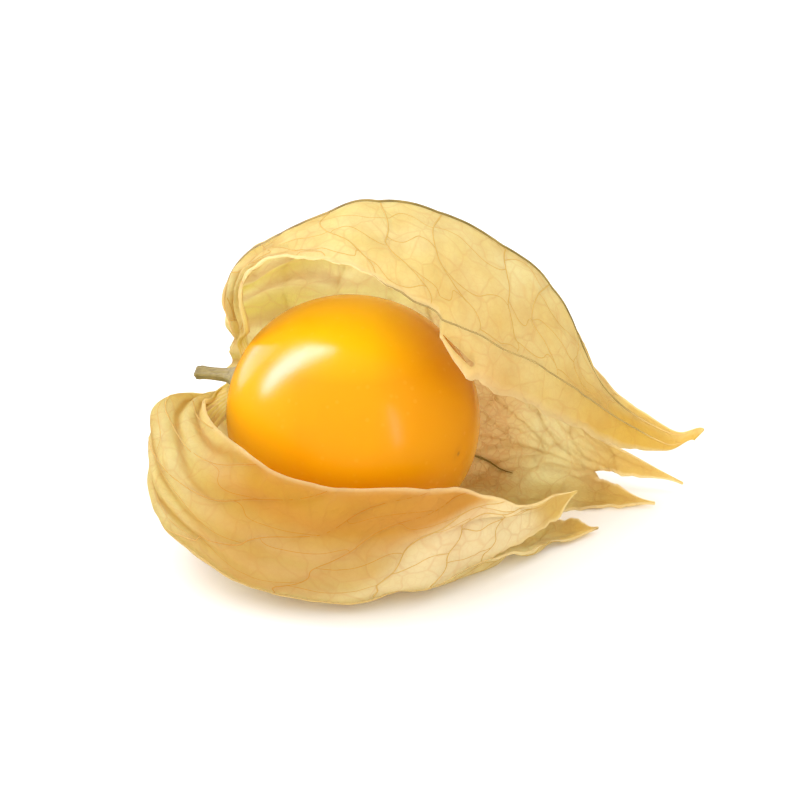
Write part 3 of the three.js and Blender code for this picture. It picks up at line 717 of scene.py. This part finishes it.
# Painted shade darkens the pleats in their valleys, and torn edges are pale, widest beside the
# stalk.
valley_shade = (0.65 - 0.25 * inner_back) * ease(-pleats, 0.02, 0.19)
rim_width = 0.4 + 0.4 * (1 - ease(around, 0.2, 0.6)) * (1 - ease(along, 12, 16))
rim = 0.85 * (1 - ease(from_edge / rim_width, 0.2, 1)) * ease(along, 2, 8)
for name, values in (("netted", netted), ("painted_shade_and_glow", painted_shade_and_glow), ("painted_light", painted_light), ("shade", shade),
                     ("valley_shade", valley_shade), ("rim", rim)):
    mark(husk, name, np.tile(values, 2))

# ---------------------------------------------------------------------------------------------
# Veins: five midribs and the seams' ribs run from the stalk, and side veins branch from them and
# meet in loops. They are woody strands grown inside the sheet, and stand out on its outer face.
STRAND_LIFT = 0.05
strand_grid = middle + STRAND_LIFT * normals


def grid_place(t, s):
    """Points on the finished sheet at place t round it and row s: a weighted mean of the four
    grid vertices about it. Column numbers come from t, with one extra past each seam."""
    half = np.clip(np.floor(t), 0, 9).astype(int)
    first = np.array([len(STRIP_SHARES) + h * HALF_COLUMNS + h // 2 for h in range(10)])[half]
    last = np.where(half % 2 == 1, HALF_COLUMNS, HALF_COLUMNS - 1e-6)
    c = np.clip((t - half) * HALF_COLUMNS, 0, last)
    c0 = np.minimum(np.floor(c).astype(int), HALF_COLUMNS - 1)
    r = np.interp(s, rows, np.arange(len(rows)))
    r0 = np.minimum(np.floor(r).astype(int), len(rows) - 2)
    across, ahead = (c - c0)[..., None], (r - r0)[..., None]

    def vertex(column, row):
        return strand_grid[grid[first + c0 + column, r0 + row]]

    near = vertex(0, 0) * (1 - ahead) + vertex(0, 1) * ahead
    far = vertex(1, 0) * (1 - ahead) + vertex(1, 1) * ahead
    return near * (1 - across) + far * across


def strands(paths, radii, sides):
    """Round strands carried along paths (strands, steps, 3): at each step a circle square to the
    path, laid out from one direction across the husk's face and one out of it."""
    ahead = unit(np.gradient(paths, axis=1))
    across = unit(np.cross(ahead, paths - husk_axis(paths)))
    out = np.cross(across, ahead)
    angle = np.linspace(0, 2 * np.pi, sides, endpoint=False)[:, None]
    circle = across[:, :, None] * np.cos(angle) + out[:, :, None] * np.sin(angle)
    points = paths[:, :, None] + circle * radii[:, :, None, None]
    points[..., 2] = np.maximum(points[..., 2], 0.01)
    n, m = paths.shape[:2]
    at = np.arange(n * m * sides).reshape(n, m, sides)
    after = np.roll(at, -1, axis=2)
    quads = np.stack([at[:, :-1], at[:, 1:], after[:, 1:], after[:, :-1]], -1).reshape(-1, 4)
    ends = np.vstack([at[:, 0], at[:, -1, ::-1]])
    return points.reshape(-1, 3), quads.tolist() + ends.tolist()


# Radius at the stalk of each line's rib, and how far it has dried pale. A midrib runs to its
# petal's tip, a seam's rib to where the petals part. The first seam's rib starts above the berry,
# and the back petal's midrib shows only from its netted patch on.
RIB_RADII = [0.085, 0.19, 0.1, 0.09, 0.08, 0.08, 0.08, 0.13, 0.1]
RIB_PALENESS = [0.3, 0, 0.5, 1, 1, 1, 1, 0.2, 0.6]
RIB_STARTS = {0: 18.5, 3: 26.0}
RIB_SIDES = 8
LEAST_RADIUS = 0.01
steps = np.linspace(0, 1, 150)
rib_paths, rib_radii = [], []
for j, radius in enumerate(RIB_RADII):
    first = RIB_STARTS.get(j, 0.5)
    last = 49.8 if j % 2 or j == 0 else STATIONS[len(LINES[j])] - 0.5
    s = first + steps * (last - first)
    rib_paths.append(grid_place(np.full_like(s, float(j)), s))
    taper = radius * (1 - 0.5 * s / 51) * ease(s, first - 0.1, first + 3)
    rib_radii.append(taper * (1 - 0.7 * ease(s, last - 5, last)) + LEAST_RADIUS)
# One short side vein of the back petal that has died off dark, thick enough to show inside.
rib_paths.append(grid_place(4.32 + 0.3 * steps ** 1.2, 27.8 + 5.6 * steps))
rib_radii.append(0.165 - 0.035 * steps)
rib_points, rib_faces = strands(np.array(rib_paths), np.array(rib_radii), RIB_SIDES)
# Every rib is pale towards its tip, and all but the first are pale at the stalk.
pale = np.array(RIB_PALENESS)[:, None] + ease(steps, 0.86, 0.97)
pale[1:] += 1 - ease(steps, 0.1, 0.2)
pale = np.vstack([np.minimum(pale, 1), 0 * steps])

# Woody rib tissue: olive-brown, matt, darker along its length in patches of 2.4 mm.
rib_wood, tree = new_material("woody_rib")
place = add_node(tree, "ShaderNodeTexCoord").outputs["Object"]
patches = add_node(tree, "ShaderNodeTexNoise", {"Vector": place, "Scale": 420, "Detail": 3})
patches = add_node(tree, "ShaderNodeMapRange", {
    "Value": patches.outputs["Fac"], "From Min": 0.3, "From Max": 0.7})
wood = add_node(tree, "ShaderNodeMix", {
    0: patches.outputs["Result"], 6: hex_colour("6E5C26"), 7: hex_colour("A68C46")},
    data_type="RGBA")
fact = add_node(tree, "ShaderNodeAttribute", attribute_name="pale")
wood = add_node(tree, "ShaderNodeMix", {
    0: fact.outputs["Fac"], 6: wood.outputs[2], 7: hex_colour("E0BE7A")}, data_type="RGBA")
shader = add_node(tree, "ShaderNodeBsdfPrincipled", {
    "Base Color": wood.outputs[2], "Roughness": 0.7, "IOR": 1.4})
add_node(tree, "ShaderNodeOutputMaterial", {"Surface": shader.outputs["BSDF"]})
ribs = make_piece("husk_ribs", rib_points, rib_faces, [rib_wood])
mark(ribs, "pale", np.repeat(pale, RIB_SIDES))
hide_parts("husk")

# Side veins: one at each row of every half sepal, which waver and bend on towards the next, and
# three thinner ones across between each two. Each is 0.16 mm thick at its midrib and less at its
# end, and thinner among the back's pleats, where the sheet hides it.
VEIN_RADIUS = 0.078
CROSS_RADIUS = 0.046
VEIN_SIDES = 6
FRONT_VEINS = 8
rng = np.random.default_rng(11)
steps = np.linspace(0, 1, 40)
vein_paths, vein_radii, vein_painted_shade = [], [], []


def side_vein(u, start, lean, beat, phase):
    """Row of a side vein at u half sepals from its rib: a straight lean, and a sine that grows."""
    return start + lean * u + 0.3 * u * np.sin(beat * u + phase)


def looped(u, vein, after):
    """A side vein that bends four fifths of the way to the next one as it nears the seam."""
    to_next = side_vein(u, *after) - side_vein(u, *vein)
    return side_vein(u, *vein) + 0.8 * ease(u, 0.55, 0.95) * to_next


def wavering(u, size):
    """A cross vein's place about u: one slow sine of a random start, drawn in at both ends."""
    return u + size * np.sin(3 * steps + rng.uniform(0, 6)) * steps * (1 - steps) * 4


for half in range(8):
    own = [(row + rng.uniform(-0.5, 0.5), -2.4 if half == 0 else 0, rng.uniform(3, 6),
            rng.uniform(0, 6)) for row in VEIN_ROWS]
    own += [own[-1]] * 2
    for v, row in enumerate(VEIN_ROWS):
        thick = 1 - 0.15 * ease(row, 30, 50)
        if 0 < half < 5:
            thick = thick * (0.5 + 0.5 * ease(row, 16, 27))
        u = 0.03 + 0.94 * steps
        t = half + (u if half % 2 else 1 - u)
        vein_paths.append(grid_place(t, np.minimum(looped(u, own[v], own[v + 1]), 50)))
        vein_radii.append((VEIN_RADIUS - 0.026 * steps) * thick)
        for k in range(3):
            u = wavering(0.22 + 0.3 * k + 0.1 * (v % 2) + rng.uniform(-0.07, 0.07), 0.1)
            if v == len(VEIN_ROWS) - 1:
                continue
            s = (looped(u, own[v], own[v + 1]) * (1 - steps)
                 + looped(u, own[v + 1], own[v + 2]) * steps)
            t = half + np.clip(u if half % 2 else 1 - u, 0.04, 0.96)
            vein_paths.append(grid_place(t, s))
            vein_radii.append((CROSS_RADIUS + 0 * steps) * thick)

# The front petal's side veins lean more: they rise from its lower rib to its edge as they go, and
# are thinner in its painted shade. Those that would leave the sheet at either end are left out.
own = [(FRONT_STEP * v - FRONT_FIRST + rng.uniform(-0.5, 0.5), FRONT_LEAN, rng.uniform(3, 6),
        rng.uniform(0, 6)) for v in range(FRONT_VEINS)]
for v in range(FRONT_VEINS):
    low = max(0.03, (1.5 - own[v][0]) / FRONT_LEAN)
    u = low + steps * (1.95 - low)
    s = np.minimum(side_vein(u, *own[v]), 49)
    in_painted_shade = front_painted_shade(8 + u, slanted(s, 8 + u))
    vein_paths.append(grid_place(8 + u, s))
    vein_painted_shade.append(in_painted_shade)
    taper = (VEIN_RADIUS - 0.022 * steps) * (1 - 0.25 * ease(own[v][0], 20, 34))
    vein_radii.append(taper * (1 - 0.5 * in_painted_shade))
    for k in range(3):
        u = wavering(0.35 + 0.55 * k + 0.2 * (v % 2) + rng.uniform(-0.08, 0.08), 0.12)
        after = own[min(v + 1, FRONT_VEINS - 1)]
        s = side_vein(u, *own[v]) * (1 - steps) + side_vein(u, *after) * steps
        if v == FRONT_VEINS - 1 or s[0] < 6 or s[-1] > 44:
            continue
        in_painted_shade = front_painted_shade(8 + u, slanted(s, 8 + u))
        vein_paths.append(grid_place(8 + u, s))
        vein_painted_shade.append(in_painted_shade)
        vein_radii.append(CROSS_RADIUS * (1 - 0.5 * in_painted_shade))
vein_points, vein_faces = strands(np.array(vein_paths), np.array(vein_radii), VEIN_SIDES)
plain = np.zeros((len(vein_paths) - len(vein_painted_shade), len(steps)))
vein_painted_shade = np.vstack([plain, np.array(vein_painted_shade)])

# Vein tissue: tan, matt, hardly darker than the sheet that it runs in, and painted browner in the
# front petal's painted shade.
vein_tissue, tree = new_material("vein_tissue")
place = add_node(tree, "ShaderNodeTexCoord").outputs["Object"]
patches = add_node(tree, "ShaderNodeTexNoise", {"Vector": place, "Scale": 300, "Detail": 2})
strand = add_node(tree, "ShaderNodeMix", {
    0: patches.outputs["Fac"], 6: hex_colour("E2C670"), 7: hex_colour("F0DC9A")}, data_type="RGBA")
fact = add_node(tree, "ShaderNodeAttribute", attribute_name="painted_shade_and_glow")
strand = add_node(tree, "ShaderNodeMix", {
    0: fact.outputs["Fac"], 6: strand.outputs[2], 7: hex_colour("DFA038")}, data_type="RGBA")
front = add_node(tree, "ShaderNodeBsdfPrincipled", {
    "Base Color": strand.outputs[2], "Roughness": 0.65, "IOR": 1.4})
through = add_node(tree, "ShaderNodeBsdfTranslucent", {"Color": strand.outputs[2]})
both = add_node(tree, "ShaderNodeMixShader", {
    0: 0.6, 1: front.outputs["BSDF"], 2: through.outputs["BSDF"]})
add_node(tree, "ShaderNodeOutputMaterial", {"Surface": both.outputs["Shader"]})
veins = make_piece("husk_veins", vein_points, vein_faces, [vein_tissue])
mark(veins, "painted_shade_and_glow", np.repeat(vein_painted_shade, VEIN_SIDES))
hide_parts("husk")

# ---------------------------------------------------------------------------------------------
# Studio: a plain white floor, a tall window-like softbox on the left, three lights for gleams
# only (its own, a weak strip at the front right and one behind the rim), and a white surround.
floor_mesh = bpy.data.meshes.new("floor")
reach = 3.0
corners = [(-reach, -reach, 0), (reach, -reach, 0), (reach, reach, 0), (-reach, reach, 0)]
floor_mesh.from_pydata(corners, [], [(0, 1, 2, 3)])
floor = bpy.data.objects.new("floor", floor_mesh)
bpy.context.collection.objects.link(floor)
paper, tree = new_material("matt_white_paper")
shader = add_node(tree, "ShaderNodeBsdfPrincipled", {
    "Base Color": hex_colour("F4F3F1"), "Roughness": 0.8})
add_node(tree, "ShaderNodeOutputMaterial", {"Surface": shader.outputs["BSDF"]})
floor_mesh.materials.append(paper)
floor.visible_glossy = False


def softbox(name, toward, long_axis, size, power, gleam_only=True):
    """An even light that faces the berry from a direction, 0.6 m away, size metres wide and high.
    One that is for a gleam only is oval and cool, so that it stays white on orange skin; glossy
    surfaces see it, and it lights no others."""
    distance = 0.6
    light = bpy.data.lights.new(name, "AREA")
    light.shape = "ELLIPSE" if gleam_only else "RECTANGLE"
    light.color = (0.8, 0.66, 1.0) if gleam_only else (1, 1, 1)
    light.size, light.size_y = size
    light.energy = power
    lamp = bpy.data.objects.new(name, light)
    z = unit(np.array(toward))
    x = unit(np.cross(long_axis, z))
    y = np.cross(z, x)
    turn = np.eye(4)
    turn[:3, :3] = np.stack([x, y, z], 1)
    turn[:3, 3] = BERRY_CENTRE * MM + z * distance
    lamp.matrix_world = Matrix(turn.tolist())
    lamp.visible_camera = False
    lamp.visible_diffuse = lamp.visible_transmission = not gleam_only
    bpy.context.collection.objects.link(lamp)


window_way, window_axis = (-0.714, 0.144, 0.686), (0.616, -0.074, 0.716)
softbox("window", window_way, window_axis, (0.15, 0.62), 0.95, gleam_only=False)
softbox("window_gleam", window_way, window_axis, (0.17, 0.7), 13.0)
softbox("strip", (0.56, -0.78, 0.25), (0, 0, 1), (0.06, 0.46), 0.6)
softbox("rim_gleam", (-0.66, 0.72, 0.2), (0, 0, 1), (0.3, 0.44), 1.3)

world = bpy.data.worlds.new("surround")
world.use_nodes = True
world.node_tree.nodes.clear()
tree = world.node_tree
# The white surround is brighter towards the window. Glossy surfaces see it dim, so that the window
# stands out in them, and the camera sees a plain white backdrop.
room = add_node(tree, "ShaderNodeLightPath")
way = add_node(tree, "ShaderNodeTexCoord").outputs["Generated"]
way = add_node(tree, "ShaderNodeVectorMath", {0: way, 1: (-0.6, -0.5, 0.55)},
               operation="DOT_PRODUCT")
level = add_node(tree, "ShaderNodeMath", {
    0: way.outputs["Value"], 1: 0.5, 2: 1.42}, operation="MULTIPLY_ADD")
white = add_node(tree, "ShaderNodeBackground", {
    "Color": (1, 1, 1, 1), "Strength": level.outputs["Value"]})
dim = add_node(tree, "ShaderNodeBackground", {"Color": (1, 1, 1, 1), "Strength": 0.12})
seen = add_node(tree, "ShaderNodeMixShader", {
    0: room.outputs["Is Glossy Ray"], 1: white.outputs["Background"], 2: dim.outputs["Background"]})
backdrop = add_node(tree, "ShaderNodeBackground", {"Color": (1, 1, 1, 1), "Strength": 1.3})
seen = add_node(tree, "ShaderNodeMixShader", {
    0: room.outputs["Is Camera Ray"], 1: seen.outputs["Shader"], 2: backdrop.outputs["Background"]})
add_node(tree, "ShaderNodeOutputWorld", {"Surface": seen.outputs["Shader"]})
bpy.context.scene.world = world
bpy.context.scene.view_settings.view_transform = "Standard"
